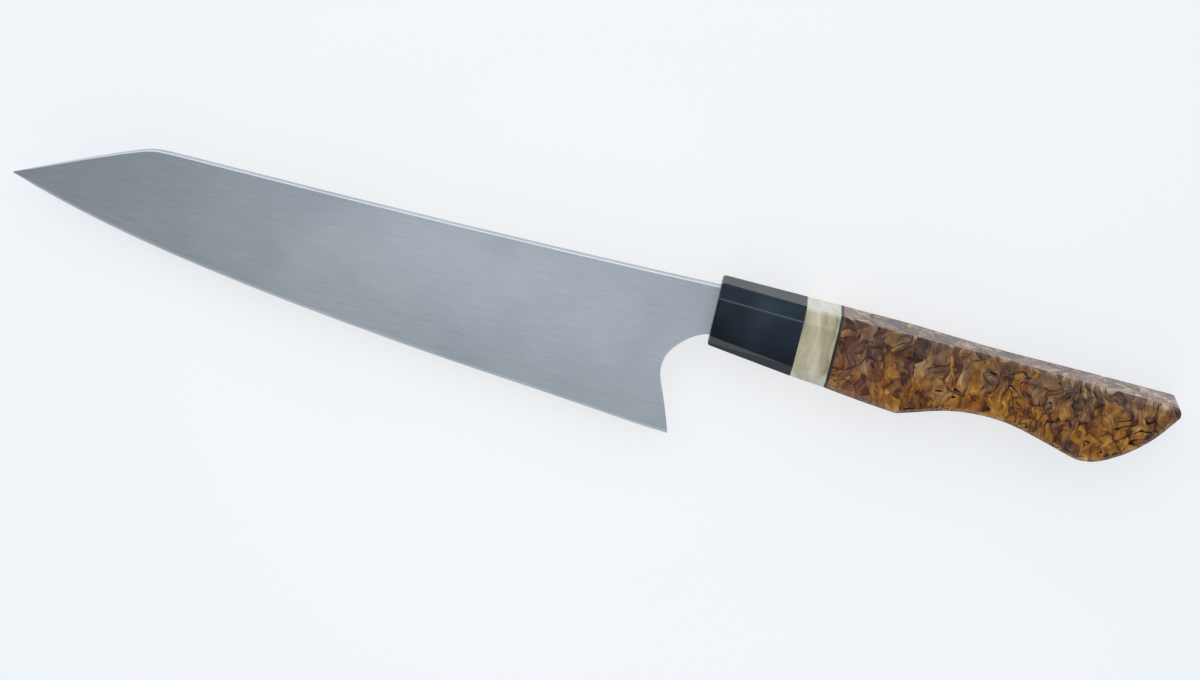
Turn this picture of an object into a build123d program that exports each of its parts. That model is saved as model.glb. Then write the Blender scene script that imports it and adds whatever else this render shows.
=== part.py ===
from build123d import *
from math import hypot
import os

# Kitchen knife with a clipped point and a hidden tang, lying on its side. Sizes in millimetres.
# It is drawn along the axis of its tang: the ferrule's face is x = 0, the tip is towards -X,
# the butt towards +X and the spine towards +Y, about the blade's own middle plane z = 0.
# Heights are above that axis and depths are below it.

# Outline of the blade
blade_reach = 213.0
heel_setback = 5.2
heel_depth = 39.8
tip_depth = 8.3
spine_height = 8.3
spine_rise = 0.7
spine_hollow = 0.75
clip_length = 40.5
clip_bulge = 0.35
clip_rounding = 1.2
neck_depth = 6.7
choil_reach = 11.7

# Grind of the blade
spine_thickness = 2.9
spine_ease = 0.35
edge_thickness = 0.34
edge_bevel = 0.8
full_grind_height = 6.0

# Tang
neck_entry = 5.0
tang_length = 82.0
tang_height = 8.6
tang_end_height = 6.0
tang_thickness = 2.2
tang_end_thickness = 1.6
bedding_gap = 0.3

# Core dowel, on an axis a little below the tang's
dowel_diameter = 12.0
dowel_drop = 0.5
dowel_tail = 3.0
bore_relief = 1.0
drill_point = 3.0

# Lengths of the handle's pieces
ferrule_length = 25.8
spacer_length = 10.3
liner_thickness = 0.9
grip_length = 101.6

# Places along the handle, from the ferrule's face
knuckle_place = 58.5
waist_place = 85.0
beak_place = 114.5

# Sections of the handle
front_top = 10.5
butt_top = 6.2
front_height = 19.4
belly_height = 23.3
waist_height = 17.7
beak_height = 22.6
front_width = 17.5
belly_width = 21.3
waist_width = 17.4
butt_width = 21.8
upper_facet = 3.9
lower_facet = 3.9
grip_facet = 1.4
knuckle_facet = 1.2
belly_bulge = 0.2
knuckle_round = 2.5
corner_drop = 2.35
corner_reach = 1.2
front_round = 0.9

# One overrun for every cut
overrun = 3.0

# The edge between heel and tip: share of the length, and share of the rise from heel to tip
edge_shares = ((0.34, 0.207), (0.68, 0.498), (0.895, 0.79))

# Sections of the blade: share of the edge's length from the heel, and share of the spine's thickness
grind_shares = (
    (0.0, 1.0), (0.15, 1.0), (0.3, 1.0), (0.45, 1.0), (0.6, 0.99), (0.7, 0.98), (0.75, 0.97), (0.78, 0.96),
    (0.8, 0.95), (0.82, 0.92), (0.85, 0.86), (0.88, 0.78), (0.92, 0.66), (0.96, 0.5), (0.985, 0.4),
    (0.998, 0.34),
)

# The choil from the neck to the heel: share of its reach, and share of its drop
choil_shares = ((0.23, 0.027), (0.67, 0.145), (0.945, 0.29), (0.985, 0.45), (0.8, 0.64), (0.61, 0.82))

# How far height, width and lower facet have changed between the ferrule's face and the belly, at each
# joint of the handle: the ferrule's face, ferrule and spacer, spacer and liner, liner and grip
joint_shares = ((0.0, 0.0, 0.0), (0.59, 0.58, 0.0), (0.67, 0.81, 0.32), (0.69, 0.83, 0.35))

# Width of the grip up to its knuckle, on to its waist and on to its butt: share of each stretch, and share of
# the change in width over it
belly_width_shares = ((0.0, 0.0), (0.5, 0.88), (1.0, 1.0))
waist_width_shares = ((0.32, 0.36), (0.64, 0.78), (1.0, 1.0))
butt_width_shares = ((0.2, 0.23), (0.4, 0.56), (0.6, 0.78), (0.8, 0.93), (1.0, 1.0))

# The grip's underside from its knuckle to its waist and on to its beak: share of each stretch, and share of
# the change in height over it
dip_shares = ((0.15, 0.22), (0.36, 0.55), (0.64, 0.87), (0.93, 1.0))
rise_shares = ((0.25, 0.08), (0.5, 0.38), (0.74, 0.73), (1.0, 1.0))

# The butt's curve from the beak to its upper corner: share of its length, and share of the height there
butt_shares = (
    (0.17, 0.041), (0.332, 0.141), (0.502, 0.283), (0.672, 0.467), (0.838, 0.704), (0.913, 0.84), (0.959, 0.924),
)

tang_end = neck_entry + tang_length
dowel_end = tang_end + dowel_tail
bore_end = dowel_end + bore_relief
spacer_place = ferrule_length
liner_place = spacer_place + spacer_length
grip_place = liner_place + liner_thickness
butt_place = grip_place + grip_length
corner_height = spine_height + spine_rise
corner_place = clip_length - blade_reach
joint_places = (0, spacer_place, liner_place, grip_place)


def between(start, end, share):
    """The value that lies a share of the way from start to end."""
    return start + (end - start) * share


def bow(share):
    """A parabola that is 0 at shares 0 and 1, and 1 half way."""
    return 1 - (share + share - 1) ** 2


def lower_of(first, second, rounding):
    """The lower of two heights, with the corner between them rounded."""
    return (first + second - hypot(first - second, rounding)) / 2


def spine_line(place):
    """Height of the blade's back: a slightly hollow spine, then the clip down to the tip."""
    along = place / corner_place
    spine = between(spine_height, corner_height, along) - spine_hollow * bow(along)
    share = (place + blade_reach) / clip_length
    clip = between(-tip_depth, corner_height, share) + clip_bulge * bow(share)
    return lower_of(min(spine, corner_height), clip, clip_rounding)


def outline(near):
    """Closed corners from the near half, whose first corner may lie on the middle plane."""
    return near + [(y, -z) for y, z in reversed(near) if z]


def face_across(place, corners):
    """Flat face across the knife at a place along it."""
    return Plane.YZ.offset(place) * make_face(Polyline(*corners, close=True))


def blade_section(place, depth, thickness):
    """Cross-section of the blade: edge, two small bevels, flat ground sides and an eased spine."""
    top = spine_line(place)
    height = top + depth
    shrink = min(1, height / full_grind_height)
    behind_edge = edge_thickness * shrink
    side = between(behind_edge, thickness, height / (corner_height + depth))
    ease = spine_ease * shrink
    near = [(edge_bevel * shrink - depth, behind_edge / 2), (top - ease, side / 2), (top, (side - ease) / 2)]
    return face_across(place, outline([(-depth, 0), *near]))


def choil_cutter():
    """Everything behind the choil and below the neck."""
    drop = heel_depth - neck_depth
    curve = [(-choil_reach * along, -neck_depth - drop * down) for along, down in choil_shares]
    start, heel = (0, -neck_depth), (-heel_setback, -heel_depth)
    below = (-heel_setback, -heel_depth - overrun)
    behind = neck_entry + overrun
    rim = [
        Line((behind, -neck_depth), start),
        Spline(start, *curve, heel),
        Polyline(heel, below, (behind, below[1]), (behind, -neck_depth)),
    ]
    return extrude(make_face(rim), spine_thickness, both=True)


def rod_section(place, height, thickness):
    """A rectangle across the tang's axis."""
    return Plane.YZ.offset(place) * Rectangle(height, thickness)


def make_blade():
    """Ground blade with its choil, and the tapered tang, one piece of steel."""
    heel, tip = Vector(-heel_setback, -heel_depth), Vector(-blade_reach, -tip_depth)
    run = tip - heel
    edge = Spline(heel, *[heel + Vector(run.X * along, run.Y * rise) for along, rise in edge_shares], tip)
    sections = [blade_section(neck_entry, heel_depth, spine_thickness)]
    for share, taper in grind_shares:
        point = edge @ share
        sections.append(blade_section(point.X, -point.Y, spine_thickness * taper))
    ground = loft(sections)
    tang = loft([
        rod_section(neck_entry, tang_height, tang_thickness),
        rod_section(tang_end, tang_end_height, tang_end_thickness),
    ])
    return ground - choil_cutter() + tang


def top_line(place):
    """Height of the handle's top, which falls straight from the ferrule's face to the butt."""
    return between(front_top, butt_top, place / butt_place)


def joint_sizes(joint):
    """Height, width and lower facet of the handle at one of its joints."""
    tall, wide, cut = joint_shares[joint]
    height = between(front_height, belly_height, tall)
    return height, between(front_width, belly_width, wide), between(lower_facet, grip_facet, cut)


def joint_corners(joint):
    """Corners of the octagon at a joint, whose upper and lower facets lie at 45 degrees."""
    place = joint_places[joint]
    height, width, facet = joint_sizes(joint)
    top, side = top_line(place), width / 2
    bottom = top - height
    near = [
        (bottom, side - facet),
        (bottom + facet, side),
        (top - upper_facet, side),
        (top, side - upper_facet),
    ]
    return [Vector(place, *corner) for corner in outline(near)]


def deep_section(place, width):
    """Section of the grip before its underside is cut."""
    top, side = top_line(place), width / 2
    near = [(top - belly_height - overrun, side), (top - upper_facet, side), (top, side - upper_facet)]
    return face_across(place, outline(near))


def stretch(start, end, first, last, shares):
    """Places between start and end, each with a size on its way from first to last."""
    return [(between(start, end, at), between(first, last, change)) for at, change in shares]


def underside_cutter():
    """Everything below the grip and behind its butt, whose upper corner is rounded."""
    dip = stretch(knuckle_place, waist_place, belly_height, waist_height, dip_shares)
    rise = stretch(waist_place, beak_place, waist_height, beak_height, rise_shares)
    start = Vector(grip_place, top_line(grip_place) - joint_sizes(-1)[0])
    knuckle = Vector(knuckle_place, top_line(knuckle_place) - belly_height)
    bulge = (start + knuckle) / 2 - Vector(0, belly_bulge)
    under = [knuckle] + [Vector(place, top_line(place) - height) for place, height in dip + rise]
    beak = under[-1]
    side = Vector(butt_place, top_line(butt_place) - corner_drop)
    under += [Vector(*point) for point in stretch(beak.X, side.X, beak.Y, side.Y, butt_shares)]
    rise_to_side = side - under[-1]
    under += [side]
    crown = Vector(butt_place - corner_reach, top_line(butt_place - corner_reach))
    front, out = start.X - overrun, side.X + overrun
    low, high = knuckle.Y - belly_height, crown.Y + overrun
    rim = [
        Polyline((front, start.Y), start),
        ThreePointArc(start, bulge, knuckle),
        Spline(*under, tangents=[under[1] - knuckle, rise_to_side]),
        TangentArc(side, crown, tangent=rise_to_side),
        Polyline(crown, (crown.X, high), (out, high), (out, low), (front, low), (front, start.Y)),
    ]
    return extrude(Location((0, 0, -belly_width)) * make_face(rim), belly_width * 2)


def facet_cutter():
    """Wedge along one side of the belly that widens its lower facet towards the liner."""
    sections = []
    ends = [(grip_place, *joint_sizes(-1)), (knuckle_place, belly_height, belly_width, knuckle_facet)]
    for place, height, width, facet in ends:
        bottom, side = top_line(place) - height, width / 2
        low, out = bottom - overrun, side + overrun
        corners = [(low, out), (low, side - facet - overrun), (bottom + facet + overrun, out)]
        sections.append(face_across(place, corners))
    return loft(sections, ruled=True)


def dowel_bore(start, end):
    """Round hole for the core dowel between two places along the handle."""
    bore = Cylinder(dowel_diameter / 2, end - start, align=(Align.CENTER, Align.CENTER, Align.MIN))
    return Plane.YZ.offset(start) * Location((-dowel_drop, 0, 0)) * bore


def slot(place, middle, length, height, thickness):
    """Flat slot along the handle for a part of the blade, with room for the bedding round it."""
    room = bedding_gap * 2
    box = Box(length, height + room, thickness + room, align=(Align.MIN, Align.CENTER, Align.CENTER))
    return Location((place, middle, 0)) * box


def make_ring(joint):
    """Solid octagonal piece of the handle between one joint and the next, with flat sides."""
    front, back = joint_corners(joint), joint_corners(joint + 1)
    quads = [(front[at - 1], front[at], back[at], back[at - 1]) for at in range(len(front))]
    faces = [make_face(Polyline(*corners, close=True)).face() for corners in (front, back, *quads)]
    return Solid(Shell(faces))


def make_ferrule():
    """Ferrule with a rounded front, the slot for the neck and the bore for the dowel."""
    ring = make_ring(0)
    ferrule = fillet(ring.faces().sort_by(Axis.X)[0].edges(), front_round)
    return ferrule - neck_slot - dowel_bore(neck_entry, spacer_place)


def make_grip():
    """Grip with its belly, knuckle, waist and beaked butt, and the blind bore for the dowel."""
    sections = stretch(grip_place, knuckle_place, joint_sizes(-1)[1], belly_width, belly_width_shares)
    sections += stretch(knuckle_place, waist_place, belly_width, waist_width, waist_width_shares)
    sections += stretch(waist_place, butt_place + overrun, waist_width, butt_width, butt_width_shares)
    deep = loft([deep_section(place, width) for place, width in sections])
    cut = deep - underside_cutter()
    across = cut.edges().filter_by(Axis.Z).sort_by_distance(Vector(knuckle_place, -belly_height))
    cut = fillet(across[0], knuckle_round)
    curves = [edge for edge in new_edges(deep, combined=cut) if edge.geom_type != GeomType.LINE]
    rims = [edge for edge in curves if edge.center().Y < 0 and abs(edge.center().Z) > dowel_diameter / 2]
    wedge = facet_cutter()
    grip = chamfer(rims, grip_facet) - wedge - mirror(wedge, Plane.XY)
    point = Cone(dowel_diameter / 2, 0, drill_point, align=(Align.CENTER, Align.CENTER, Align.MIN))
    drilled = Plane.YZ.offset(bore_end) * Location((-dowel_drop, 0, 0)) * point
    return grip - dowel_bore(grip_place, bore_end) - drilled


neck_slot = slot(0, (spine_height - neck_depth) / 2, neck_entry, spine_height + neck_depth, spine_thickness)
tang_slot = slot(neck_entry, 0, tang_length, tang_height, tang_thickness)
blade = make_blade()
pieces = {
    "blade": blade,
    "ferrule": make_ferrule(),
    "spacer": make_ring(1) - dowel_bore(spacer_place, liner_place),
    "liner": make_ring(2) - dowel_bore(liner_place, grip_place),
    "grip": make_grip(),
    "core_dowel": dowel_bore(neck_entry, dowel_end) - tang_slot,
    "tang_bedding": neck_slot + tang_slot - blade,
}

# The whole knife is moved to stand over the origin, with its lowest side at z = 0
whole = Compound(list(pieces.values())).bounding_box()
seat = Location((-whole.center().X, -whole.center().Y, -whole.min.Z))

os.makedirs("parts", exist_ok=True)
for name, piece in pieces.items():
    export_step(seat * piece, f"parts/{name}.step")
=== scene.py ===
import math

import bpy
from mathutils import Matrix, Vector


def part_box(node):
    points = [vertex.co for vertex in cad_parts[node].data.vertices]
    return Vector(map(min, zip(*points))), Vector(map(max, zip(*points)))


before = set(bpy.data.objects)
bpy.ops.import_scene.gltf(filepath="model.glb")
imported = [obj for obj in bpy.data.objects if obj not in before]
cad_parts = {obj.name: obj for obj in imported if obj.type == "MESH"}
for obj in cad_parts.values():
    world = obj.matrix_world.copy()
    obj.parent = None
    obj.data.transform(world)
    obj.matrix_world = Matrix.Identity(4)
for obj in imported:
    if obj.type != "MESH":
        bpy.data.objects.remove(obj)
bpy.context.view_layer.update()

# The blade: one piece of carbon-rich stainless steel, ground thin from spine to edge on a slightly crowned
# wheel and rubbed on fine paper along its length, which leaves short faint lines and a soft, wide shine.

MM = 0.001


def linear(code):
    """Turns a written sRGB colour into linear light: each channel is raised along the sRGB curve."""
    parts = [int(code[at:at + 2], 16) / 255 for at in (1, 3, 5)]
    return (*[part / 12.92 if part <= 0.04045 else ((part + 0.055) / 1.055) ** 2.4 for part in parts], 1)


def add(tree, kind, inputs=None, stops=None, **settings):
    """Adds one shader node with its settings, sets or links its inputs and fills its colour ramp."""
    made = tree.nodes.new("ShaderNode" + kind)
    for name, value in settings.items():
        setattr(made, name, value)
    for name, value in (inputs or {}).items():
        if isinstance(value, bpy.types.NodeSocket):
            tree.links.new(value, made.inputs[name])
        else:
            made.inputs[name].default_value = value
    for at, (place, colour) in enumerate(stops or ()):
        element = made.color_ramp.elements[at] if at < 2 else made.color_ramp.elements.new(place)
        element.position = place
        element.color = linear(colour)
    return made


def fresh_material(name):
    """Makes a material of this name and returns it with its node tree and its Object coordinates."""
    material = bpy.data.materials.new(name)
    material.use_nodes = True
    return material, material.node_tree, add(material.node_tree, "TexCoord").outputs["Object"]


def finish(material, colour, rough, normal, **constants):
    """Links colour, roughness and normal to the material's shader and sets the constants on its sockets."""
    tree = material.node_tree
    shader = tree.nodes["Principled BSDF"]
    for name, socket in (("Base Color", colour), ("Roughness", rough), ("Normal", normal)):
        tree.links.new(socket, shader.inputs[name])
    for name, value in constants.items():
        shader.inputs[name.replace("_", " ")].default_value = value


def dress(node, material):
    """Puts one material on a CAD node in place of its plain one."""
    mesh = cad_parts[node].data
    mesh.materials.clear()
    mesh.materials.append(material)


# Rubbed steel: the crown lets a lamp's shine fade towards spine and edge, the short lines break it up. Both
# lean a little, by the angles below in radians.
steel, tree, place = fresh_material("rubbed stainless steel")
crown_lean = 0.03
crown_reach = 22 * MM
crown_line = 3.08 * MM / crown_reach
level = add(tree, "Mapping", {
    "Vector": place,
    "Location": (0, -crown_line, 0),
    "Rotation": (0, 0, crown_lean),
    "Scale": (1 / crown_reach,) * 3,
})
across = add(tree, "SeparateXYZ", {0: level.outputs[0]}).outputs["Y"]
crown = add(tree, "Math", {0: across, 1: across}, operation="MULTIPLY")
stroke_lean = 0.02
strokes = add(tree, "Mapping", {
    "Vector": place,
    "Rotation": (0, 0, stroke_lean),
    "Scale": (1 / (9 * MM), 1 / (0.35 * MM), 1 / (4 * MM)),
})
lines = add(tree, "TexNoise", {"Vector": strokes.outputs[0], "Scale": 1, "Detail": 3, "Roughness": 0.65})
patch = add(tree, "TexNoise", {"Vector": place, "Scale": 1 / (30 * MM), "Detail": 3, "Distortion": 0.4})
tone = add(tree, "MixRGB", {"Fac": 0.6, "Color1": patch.outputs["Fac"], "Color2": lines.outputs["Fac"]})
colour = add(tree, "ValToRGB", {"Fac": tone.outputs[0]}, stops=[(0.3, "#aab1b6"), (0.7, "#c8cdd1")])
rough = add(tree, "MapRange", {"Value": lines.outputs["Fac"], "To Min": 0.32, "To Max": 0.42})
domed = add(tree, "Bump", {"Height": crown.outputs[0], "Distance": 0.6 * MM}, invert=True)
grooved = {"Height": lines.outputs["Fac"], "Distance": 0.006 * MM, "Normal": domed.outputs[0]}
grooved = add(tree, "Bump", grooved)
finish(steel, colour.outputs[0], rough.outputs[0], grooved.outputs[0], Metallic=1)
dress("blade", steel)

# The bedding: dark epoxy, poured round the neck and tang of the blade and wiped flush with the front of the
# ferrule. Only the thin line round the neck shows.

# Cured epoxy: near black, with faint clouds and the slightly dull skin that a wiped joint has.
epoxy, tree, place = fresh_material("cured dark epoxy")
clouds = add(tree, "TexNoise", {"Vector": place, "Scale": 1 / (3 * MM), "Detail": 3})
colour = add(tree, "ValToRGB", {"Fac": clouds.outputs["Fac"]}, stops=[(0.35, "#12110f"), (0.7, "#25221d")])
rough = add(tree, "MapRange", {"Value": clouds.outputs["Fac"], "To Min": 0.3, "To Max": 0.5})
skin = add(tree, "Bump", {"Height": clouds.outputs["Fac"], "Distance": 0.03 * MM})
finish(epoxy, colour.outputs[0], rough.outputs[0], skin.outputs[0])
dress("tang_bedding", epoxy)

# The core dowel: turned from beech, slotted for the tang and glued through ferrule, spacer and liner into
# the grip, so that nothing of it shows.

# Turned beech: straight pale grain along the dowel with short darker flecks and a dry, matt surface.
beech, tree, place = fresh_material("turned beech")
grain = add(tree, "Mapping", {"Vector": place, "Scale": (1 / (20 * MM), 1 / (0.8 * MM), 1 / (0.8 * MM))})
pores = add(tree, "TexNoise", {"Vector": grain.outputs[0], "Scale": 1, "Detail": 4})
colour = add(tree, "ValToRGB", {"Fac": pores.outputs["Fac"]}, stops=[(0.3, "#b98d5f"), (0.7, "#d9b285")])
rough = add(tree, "MapRange", {"Value": pores.outputs["Fac"], "To Min": 0.7, "To Max": 0.5})
open_grain = add(tree, "Bump", {"Height": pores.outputs["Fac"], "Distance": 0.05 * MM})
finish(beech, colour.outputs[0], rough.outputs[0], open_grain.outputs[0])
dress("core_dowel", beech)

# The ferrule: near-black buffalo horn, sawn, bored and slotted, glued on the dowel, ground to an octagon on
# the belt and buffed to a soft gloss.

# Black horn: blue-grey clouds and long fibres that only just show, with a painted highlight along the upper
# ridge, under a polish that rounds the ridges and crowns the side facet, so that a lamp's glow in it fades
# away softly.
black_horn, tree, place = fresh_material("polished black horn")
fibres = add(tree, "Mapping", {"Vector": place, "Scale": (1 / (22 * MM), 1 / (1.6 * MM), 1 / (1.6 * MM))})
hairs = add(tree, "TexNoise", {"Vector": fibres.outputs[0], "Scale": 1, "Detail": 5, "Roughness": 0.55})
moved = add(tree, "Mapping", {"Vector": place, "Location": (-2 * MM, -8 * MM, 0)})
cloud = add(tree, "TexNoise", {"Vector": moved.outputs[0], "Scale": 1 / (14 * MM), "Detail": 1.5})
tone = add(tree, "MixRGB", {"Fac": 0.2, "Color1": cloud.outputs["Fac"], "Color2": hairs.outputs["Fac"]})
# The tone is darker towards the bottom of the ferrule.
height = add(tree, "SeparateXYZ", {0: place}).outputs["Y"]
darker_below = {"Value": height, "From Min": 9 * MM, "From Max": 22 * MM, "To Min": 0.27, "To Max": 0.5}
darker_below = add(tree, "MapRange", darker_below)
tone = add(tree, "MixRGB", {"Fac": 0.4, "Color1": tone.outputs[0], "Color2": darker_below.outputs[0]})
shades = [(0.36, "#151c23"), (0.5, "#212c35"), (0.66, "#37434e")]
colour = add(tree, "ValToRGB", {"Fac": tone.outputs[0]}, stops=shades)

# The painted highlight follows the upper ridge, which comes down towards the butt by this share of the way.
ridge_fall = 0.031
ridge = add(tree, "VectorMath", {0: place, 1: (ridge_fall, 1, 0)}, operation="DOT_PRODUCT")
ridge = {"Value": ridge.outputs["Value"], "From Min": 22 * MM, "From Max": 22.9 * MM}
ridge = add(tree, "MapRange", ridge)
shades = [(0.05, "#000000"), (0.45, "#ffffff"), (0.75, "#000000")]
painted_ridge_highlight = add(tree, "ValToRGB", {"Fac": ridge.outputs[0]}, stops=shades)
colour = {"Fac": painted_ridge_highlight.outputs[0], "Color1": colour.outputs[0], "Color2": linear("#56616a")}
colour = add(tree, "MixRGB", colour)

# The polish: eased ridges, and a crown from foot to top of the side facet.
rough = add(tree, "MapRange", {"Value": hairs.outputs["Fac"], "To Min": 0.22, "To Max": 0.34})
eased = add(tree, "Bevel", {"Radius": 0.6 * MM}, samples=4)
crown_foot = 6.8 * MM
crown_top = 21.6 * MM
across = {"Value": height, "From Min": crown_foot, "From Max": crown_top, "To Min": 1, "To Max": 0}
across = add(tree, "MapRange", across)
crown = add(tree, "Math", {0: across.outputs[0], 1: 2}, operation="POWER")
domed = {"Height": crown.outputs[0], "Distance": 1.5 * MM, "Normal": eased.outputs[0]}
domed = add(tree, "Bump", domed, invert=True)
buffed = {"Height": hairs.outputs["Fac"], "Distance": 0.01 * MM, "Normal": domed.outputs[0]}
buffed = add(tree, "Bump", buffed)
finish(black_horn, colour.outputs[0], rough.outputs[0], buffed.outputs[0], Specular_IOR_Level=0.13)
dress("ferrule", black_horn)

# The spacer: a ring of pale horn, bored for the dowel, glued between ferrule and liner, and ground and
# buffed with them.

# Pale horn: ivory with broad grey-brown growth streaks across the handle, with painted light that makes it
# nearly white on the spine's facet and paler underneath, and lit a little way into its depth.
pale_horn, tree, place = fresh_material("polished pale horn")
sway = add(tree, "TexNoise", {"Vector": place, "Scale": 1 / (12 * MM), "Detail": 1})
bend = {0: sway.outputs["Color"], 1: (7 * MM, 0, 2 * MM), 2: place}
swayed = add(tree, "VectorMath", bend, operation="MULTIPLY_ADD")
bands = {"Vector": swayed.outputs[0], "Scale": (1 / (2.6 * MM), 1 / (30 * MM), 1 / (12 * MM))}
bands = add(tree, "Mapping", bands)
streak = add(tree, "TexNoise", {"Vector": bands.outputs[0], "Scale": 1, "Detail": 3, "Roughness": 0.5})
haze = add(tree, "TexNoise", {"Vector": place, "Scale": 1 / (6 * MM), "Detail": 2})
tone = add(tree, "MixRGB", {"Fac": 0.35, "Color1": streak.outputs["Fac"], "Color2": haze.outputs["Fac"]})
shades = [(0.34, "#978d6f"), (0.43, "#b5ac8c"), (0.52, "#c7be9f"), (0.64, "#dad3bb")]
colour = add(tree, "ValToRGB", {"Fac": tone.outputs[0]}, stops=shades)

# Painted light up the handle, in shares of this reach: paler below, plain on the side, nearly white at the
# spine.
reach = 26 * MM
height = add(tree, "SeparateXYZ", {0: place}).outputs["Y"]
height = add(tree, "MapRange", {"Value": height, "From Max": reach})
shades = [(0.2, "#747474"), (0.27, "#000000"), (0.89, "#000000"), (0.94, "#bcbcbc")]
painted_light_ramp = add(tree, "ValToRGB", {"Fac": height.outputs[0]}, stops=shades)
colour = {"Fac": painted_light_ramp.outputs[0], "Color1": colour.outputs[0], "Color2": linear("#fbfaf4")}
colour = add(tree, "MixRGB", colour)
rough = add(tree, "MapRange", {"Value": streak.outputs["Fac"], "To Min": 0.25, "To Max": 0.35})
buffed = add(tree, "Bump", {"Height": streak.outputs["Fac"], "Distance": 0.015 * MM})
finish(pale_horn, colour.outputs[0], rough.outputs[0], buffed.outputs[0], Subsurface_Weight=0.35,
       Subsurface_Radius=(1, 0.8, 0.5), Subsurface_Scale=1 * MM, Specular_IOR_Level=0.2)
dress("spacer", pale_horn)

# The liner: a sheet of black vulcanised fibre, glued between pale horn and wood and ground and buffed with
# them, so that its rim shows as a thin black line.

# Vulcanised fibre: dead black with a fine paper-like mottle and the low shine of a buffed edge.
fibre, tree, place = fresh_material("black vulcanised fibre")
mottle = add(tree, "TexNoise", {"Vector": place, "Scale": 1 / (0.5 * MM), "Detail": 2})
colour = add(tree, "ValToRGB", {"Fac": mottle.outputs["Fac"]}, stops=[(0.3, "#0b0b0c"), (0.8, "#1b1c1e")])
rough = add(tree, "MapRange", {"Value": mottle.outputs["Fac"], "To Min": 0.35, "To Max": 0.5})
napped = add(tree, "Bump", {"Height": mottle.outputs["Fac"], "Distance": 0.01 * MM})
finish(fibre, colour.outputs[0], rough.outputs[0], napped.outputs[0])
dress("liner", fibre)

# The grip: a block of amber burl, filled with resin under pressure, drilled blind for the dowel, shaped on
# the belt to an octagon with belly, waist and beak, then sanded fine and polished.

# Stabilised burl: amber curls, flakes and soft blocks of figure, browner towards the spine, partly as figure
# and partly as painted sheen, with painted light that makes the spine's facet pale, redder at the front end
# and lighter at the butt. Grey streaks stand upright in it, dark seams part the blocks, and black lines
# swing, thicken and run out between small black eyes.
burl, tree, place = fresh_material("polished stabilised burl")

# The curl: a slow sway and a quick one bend the figure.
slow = add(tree, "TexNoise", {"Vector": place, "Scale": 1 / (13 * MM), "Detail": 2})
swayed = {0: slow.outputs["Color"], 1: (12 * MM, 6 * MM, 12 * MM), 2: place}
swayed = add(tree, "VectorMath", swayed, operation="MULTIPLY_ADD").outputs[0]
quick = add(tree, "TexNoise", {"Vector": swayed, "Scale": 1 / (3.2 * MM), "Detail": 3})
curled = {0: quick.outputs["Color"], 1: (2.5 * MM,) * 3, 2: swayed}
curled = add(tree, "VectorMath", curled, operation="MULTIPLY_ADD").outputs[0]

# The figure: blocks, strands, a rough body and flakes add up to one tone, a little lighter towards the butt.
blocks = add(tree, "Mapping", {"Vector": curled, "Scale": (1 / (3.6 * MM), 1 / (7 * MM), 1 / (5 * MM))})
cell = {"Vector": blocks.outputs[0], "Scale": 1, "Smoothness": 0.15}
cell = add(tree, "TexVoronoi", cell, feature="SMOOTH_F1")
chance = add(tree, "SeparateColor", {0: cell.outputs["Color"]})
strands = add(tree, "Mapping", {"Vector": curled, "Scale": (1 / (0.8 * MM), 1 / (5 * MM), 1 / (2.5 * MM))})
fine = add(tree, "TexNoise", {"Vector": strands.outputs[0], "Scale": 1, "Detail": 4, "Roughness": 0.6})
body = add(tree, "TexNoise", {"Vector": curled, "Scale": 1 / (2.1 * MM), "Detail": 5, "Roughness": 0.75})
flakes = add(tree, "Mapping", {"Vector": curled, "Scale": (1 / (1.1 * MM), 1 / (2 * MM), 1 / (1.6 * MM))})
flake = {"Vector": flakes.outputs[0], "Scale": 1, "Smoothness": 0.5}
flake = add(tree, "TexVoronoi", flake, feature="SMOOTH_F1")
flake = add(tree, "SeparateColor", {0: flake.outputs["Color"]})
tone = add(tree, "MixRGB", {"Fac": 0.36, "Color1": body.outputs["Fac"], "Color2": chance.outputs["Red"]})
tone = add(tree, "MixRGB", {"Fac": 0.25, "Color1": tone.outputs[0], "Color2": flake.outputs["Red"]})
tone = add(tree, "MixRGB", {"Fac": 0.25, "Color1": tone.outputs[0], "Color2": fine.outputs["Fac"]})
along = add(tree, "SeparateXYZ", {0: place}).outputs["X"]
front, butt = (corner.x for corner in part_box("grip"))
lighter = {"Value": along, "From Min": butt - 46 * MM, "From Max": butt - 26 * MM, "To Max": 0.025}
lighter = add(tree, "MapRange", lighter)
tone = add(tree, "Math", {0: tone.outputs[0], 1: lighter.outputs[0]}, operation="ADD").outputs[0]

# The shades of that tone: amber, a duller brown that is partly painted sheen, and a pale brown for the
# painted light on the spine's facet.
shades = [(0.31, "#331917"), (0.39, "#5a321d"), (0.45, "#7d4d20"), (0.52, "#9a6425"), (0.6, "#b17b32"),
          (0.71, "#cc9f5c")]
amber = add(tree, "ValToRGB", {"Fac": tone}, stops=shades)
shades = [(0.31, "#30201e"), (0.39, "#50342b"), (0.45, "#6d4b35"), (0.52, "#866240"), (0.6, "#a27b50"),
          (0.71, "#c4a274")]
dull_and_sheen = add(tree, "ValToRGB", {"Fac": tone}, stops=shades)
shades = [(0.31, "#3c2824"), (0.4, "#62463c"), (0.48, "#7c5f4e"), (0.56, "#9c7c62"), (0.68, "#d2b28c")]
painted_light_pale = add(tree, "ValToRGB", {"Fac": tone}, stops=shades)
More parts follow.
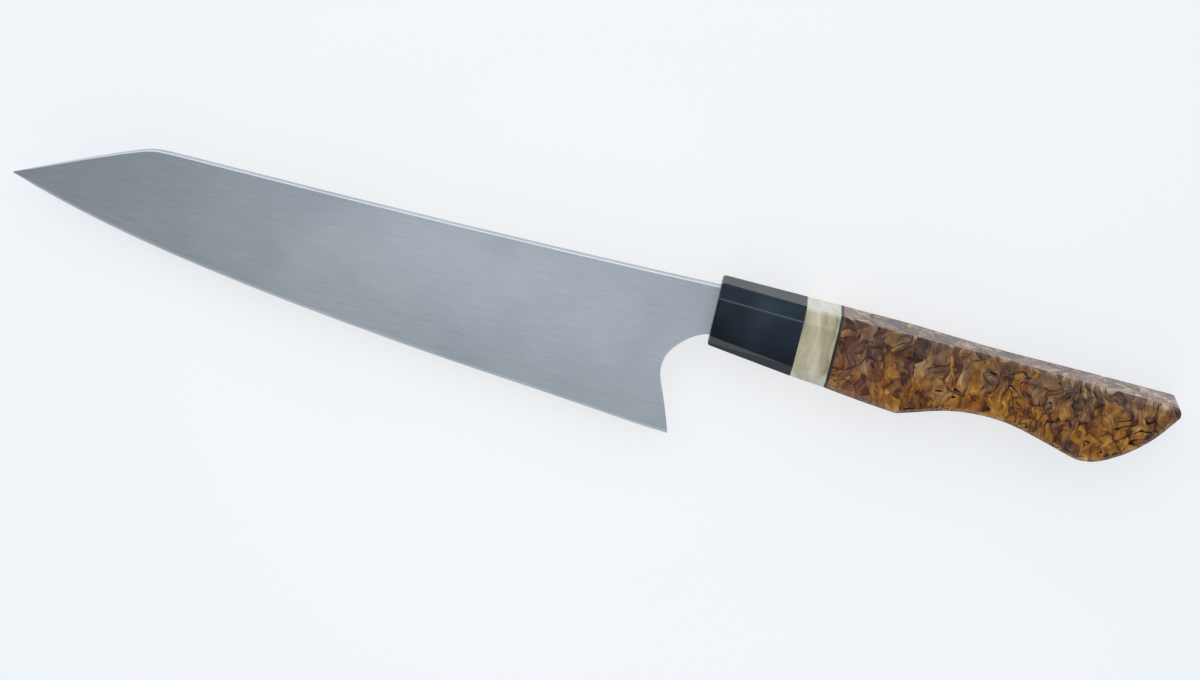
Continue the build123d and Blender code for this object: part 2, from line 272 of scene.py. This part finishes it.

# The regions: dull blocks, partly figure and partly painted sheen, and grey upright streaks gather towards
# the spine, which comes down towards the butt by this share of the way, and the front end is redder.
spine_fall = 0.042
rise = add(tree, "VectorMath", {0: place, 1: (spine_fall, 1, 0)}, operation="DOT_PRODUCT").outputs["Value"]
drift = add(tree, "TexNoise", {"Vector": place, "Scale": 1 / (12 * MM), "Detail": 3})
lift = {"Value": rise, "From Min": 8 * MM, "From Max": 27 * MM, "To Min": -0.28, "To Max": 0.16}
lift = add(tree, "MapRange", lift)
figure_and_sheen_mask = add(tree, "Math", {0: lift.outputs[0], 1: drift.outputs["Fac"]}, operation="ADD")
figure_and_sheen_mask = add(tree, "Math", {0: figure_and_sheen_mask.outputs[0], 1: chance.outputs["Green"]}, operation="MULTIPLY")
figure_and_sheen_mask = add(tree, "MapRange", {"Value": figure_and_sheen_mask.outputs[0], "From Min": 0.18, "From Max": 0.36})
wood = add(tree, "MixRGB", {"Fac": figure_and_sheen_mask.outputs[0], "Color1": amber.outputs[0], "Color2": dull_and_sheen.outputs[0]})
upright = add(tree, "Mapping", {"Vector": curled, "Scale": (1 / (1.7 * MM), 1 / (9 * MM), 1 / (5 * MM))})
upright = add(tree, "TexNoise", {"Vector": upright.outputs[0], "Scale": 1, "Detail": 3, "Roughness": 0.6})
grey = add(tree, "Math", {0: upright.outputs["Fac"], 1: lift.outputs[0]}, operation="ADD")
grey = {"Value": grey.outputs[0], "From Min": 0.5, "From Max": 0.58, "To Max": 0.55}
grey = add(tree, "MapRange", grey)
wood = add(tree, "MixRGB", {"Fac": grey.outputs[0], "Color1": wood.outputs[0], "Color2": linear("#3f2f29")})
ruddy = {"Value": along, "From Min": front, "From Max": front + 24 * MM, "To Min": 0.42, "To Max": 0}
ruddy = add(tree, "MapRange", ruddy)
wood = add(tree, "MixRGB", {"Fac": ruddy.outputs[0], "Color1": wood.outputs[0], "Color2": linear("#6b3c2e")})
# Painted light: the spine's facet is mixed to the pale shades.
spine_ridge = 26.6 * MM
painted_spine_light = add(tree, "MapRange", {"Value": rise, "From Min": spine_ridge, "From Max": spine_ridge + 1 * MM})
wood = add(tree, "MixRGB", {"Fac": painted_spine_light.outputs[0], "Color1": wood.outputs[0], "Color2": painted_light_pale.outputs[0]})

# The lines: dark seams between some of the blocks, black loops that thicken and run out, and small eyes.
seams = add(tree, "TexVoronoi", {"Vector": blocks.outputs[0], "Scale": 1}, feature="DISTANCE_TO_EDGE")
seam = {"Value": seams.outputs["Distance"], "From Min": 0.015, "From Max": 0.08, "To Min": 1, "To Max": 0}
seam = add(tree, "MapRange", seam)
where = add(tree, "TexNoise", {"Vector": place, "Scale": 1 / (7 * MM), "Detail": 1})
shown = {"Value": where.outputs["Fac"], "From Min": 0.43, "From Max": 0.53, "To Max": 0.8}
shown = add(tree, "MapRange", shown)
seam = add(tree, "Math", {0: seam.outputs[0], 1: shown.outputs[0]}, operation="MULTIPLY")
wood = add(tree, "MixRGB", {"Fac": seam.outputs[0], "Color1": wood.outputs[0], "Color2": linear("#1d1014")})
loops = add(tree, "TexNoise", {"Vector": swayed, "Scale": 1 / (9 * MM), "Detail": 0.4})
rings = []
for contour in (0.47, 0.58):
    apart = add(tree, "Math", {0: loops.outputs["Fac"], 1: contour}, operation="SUBTRACT")
    rings.append(add(tree, "Math", {0: apart.outputs[0]}, operation="ABSOLUTE").outputs[0])
ring = add(tree, "Math", {0: rings[0], 1: rings[1]}, operation="MINIMUM")
chop = add(tree, "TexNoise", {"Vector": place, "Scale": 1 / (5 * MM), "Detail": 0.5})
width = {"Value": chop.outputs["Fac"], "From Min": 0.4, "From Max": 0.66, "To Min": -0.006, "To Max": 0.011}
width = add(tree, "MapRange", width)
ink = add(tree, "Math", {0: width.outputs[0], 1: ring.outputs[0]}, operation="SUBTRACT")
ink = add(tree, "MapRange", {"Value": ink.outputs[0], "From Min": -0.003, "From Max": 0.003})
wood = add(tree, "MixRGB", {"Fac": ink.outputs[0], "Color1": wood.outputs[0], "Color2": linear("#0e0b0d")})
eyes = add(tree, "TexVoronoi", {"Vector": curled, "Scale": 1 / (5 * MM)})
dot = add(tree, "MapRange", {"Value": eyes.outputs["Distance"], "From Min": 0.14, "From Max": 0.09})
wood = add(tree, "MixRGB", {"Fac": dot.outputs[0], "Color1": wood.outputs[0], "Color2": linear("#1c0f16")})

# The polish: it dips a little with the figure.
rough = add(tree, "MapRange", {"Value": fine.outputs["Fac"], "To Min": 0.18, "To Max": 0.3})
polished = add(tree, "Bump", {"Height": tone, "Distance": 0.02 * MM})
finish(burl, wood.outputs[0], rough.outputs[0], polished.outputs[0], Specular_IOR_Level=0.25)
dress("grip", burl)

# The table and the light: a white board to lie on, a wide soft lamp on the spine's side, a small one over
# the near face, a weaker one in place of a white card on the edge's side, and a grey room.

table_width = 12000 * MM
bpy.ops.mesh.primitive_plane_add(size=table_width)
table = bpy.context.object
table.name = "table_top"

# Painted board: cool white, a little darker and bluer away from the knife as a painted falloff of light; two
# thirds of what the eye sees of it is its plain colour, whatever light falls on it, so the shadow stays
# soft.
paint, tree, place = fresh_material("matt white board")
far = add(tree, "VectorMath", {0: place}, operation="LENGTH")
painted_falloff = add(tree, "MapRange", {"Value": far.outputs["Value"], "From Min": 60 * MM, "From Max": 400 * MM})
colour = add(tree, "ValToRGB", {"Fac": painted_falloff.outputs[0]}, stops=[(0, "#fdfeff"), (1, "#f3f9ff")])
shader = tree.nodes["Principled BSDF"]
tree.links.new(colour.outputs[0], shader.inputs["Base Color"])
shader.inputs["Roughness"].default_value = 0.95
shader.inputs["Specular IOR Level"].default_value = 0
plain = add(tree, "Emission", {"Color": colour.outputs[0], "Strength": 1})
ray = add(tree, "LightPath")
seen = add(tree, "Math", {0: ray.outputs["Is Camera Ray"], 1: ray.outputs["Is Glossy Ray"]}, operation="ADD")
seen = add(tree, "Math", {0: seen.outputs[0], 1: ray.outputs["Is Transmission Ray"]}, operation="MAXIMUM")
plain_share = 0.67
shown = add(tree, "Math", {0: seen.outputs[0], 1: plain_share}, operation="MULTIPLY", use_clamp=True)
board = add(tree, "MixShader", {0: shown.outputs[0], 1: shader.outputs[0], 2: plain.outputs[0]})
tree.links.new(board.outputs[0], tree.nodes["Material Output"].inputs["Surface"])
table.data.materials.append(paint)

# Studio room: 0.6 of white at eye level, and overhead from 0.3 towards tip and edge to 0.7 towards butt and
# spine.
room = bpy.data.worlds.new("studio room")
room.use_nodes = True
bpy.context.scene.world = room
tree = room.node_tree
heading = add(tree, "SeparateXYZ", {0: add(tree, "TexCoord").outputs["Generated"]})
buttwards = {"Value": heading.outputs["X"], "From Min": -0.4, "From Max": 0.3, "To Min": 0.3, "To Max": 0.4}
buttwards = add(tree, "MapRange", buttwards, interpolation_type="SMOOTHSTEP")
spinewards = {"Value": heading.outputs["Y"], "From Min": -0.3, "From Max": 0.6, "To Max": 0.3}
spinewards = add(tree, "MapRange", spinewards)
ceiling = add(tree, "Math", {0: buttwards.outputs[0], 1: spinewards.outputs[0]}, operation="ADD")
overhead = {"Value": heading.outputs["Z"], "From Min": 0.15, "From Max": 0.5}
overhead = add(tree, "MapRange", overhead, interpolation_type="SMOOTHSTEP")
eye_level = 0.6
shade = add(tree, "Mix", {"Factor": overhead.outputs[0], "A": eye_level, "B": ceiling.outputs[0]})
walls = {"Fac": 1, "Color1": shade.outputs[0], "Color2": linear("#ecf4ff")}
walls = add(tree, "MixRGB", walls, blend_type="MULTIPLY")
tree.links.new(walls.outputs[0], tree.nodes["Background"].inputs["Color"])
tree.nodes["Background"].inputs["Strength"].default_value = 1


def box_lamp(name, place, target, size, glow):
    """Adds a rectangular soft lamp that faces its target and is glow times as bright as white."""
    light = bpy.data.lights.new(name, "AREA")
    light.shape = "RECTANGLE"
    light.size, light.size_y = size
    light.energy = glow * math.pi * size[0] * size[1]
    light.color = linear("#fbfdff")[:3]
    held = bpy.data.objects.new(name, light)
    aim = (Vector(target) - Vector(place)).to_track_quat("-Z", "Y")
    held.matrix_world = Matrix.Translation(place) @ aim.to_matrix().to_4x4()
    bpy.context.scene.collection.objects.link(held)


middle = (0, 0, 0)
blade_spot = (-20 * MM, 0, 0)
box_lamp("spine lamp", (-200 * MM, 1450 * MM, 1450 * MM), middle, size=(3400 * MM, 2200 * MM), glow=1.1)
box_lamp("face lamp", (-45 * MM, -170 * MM, 610 * MM), blade_spot, size=(230 * MM, 120 * MM), glow=1.7)
box_lamp("edge card", (0, -900 * MM, 550 * MM), middle, size=(1800 * MM, 800 * MM), glow=0.6)

# The camera: as the photograph was taken, looking down 15.2 degrees at a knife that is held 4.7 degrees off
# square and 12.7 degrees nose up, turned here into the frame of the knife lying on its side.
eye = (22.172 * MM, 228.113 * MM, 820.774 * MM)
down, yaw, tilt = (math.radians(angle) for angle in (15.2, 4.7, 12.7))
knife = Matrix((
    (math.cos(tilt) * math.cos(yaw), -math.cos(tilt) * math.sin(yaw), -math.sin(tilt)),
    (math.sin(tilt) * math.cos(yaw), -math.sin(tilt) * math.sin(yaw), math.cos(tilt)),
    (-math.sin(yaw), -math.cos(yaw), 0),
))
right = Vector((1, 0, 0))
forward = Vector((0, math.cos(down), -math.sin(down)))
up = Vector((0, math.sin(down), math.cos(down)))
turned = Matrix([knife @ right, knife @ up, knife @ -forward]).transposed()
view = bpy.data.cameras.new("photograph")
view.lens, view.sensor_width = 85, 36
camera = bpy.data.objects.new("photograph", view)
camera.matrix_world = Matrix.Translation(eye) @ turned.to_4x4()
bpy.context.scene.collection.objects.link(camera)
bpy.context.scene.camera = camera
bpy.context.scene.view_settings.view_transform = "Standard"
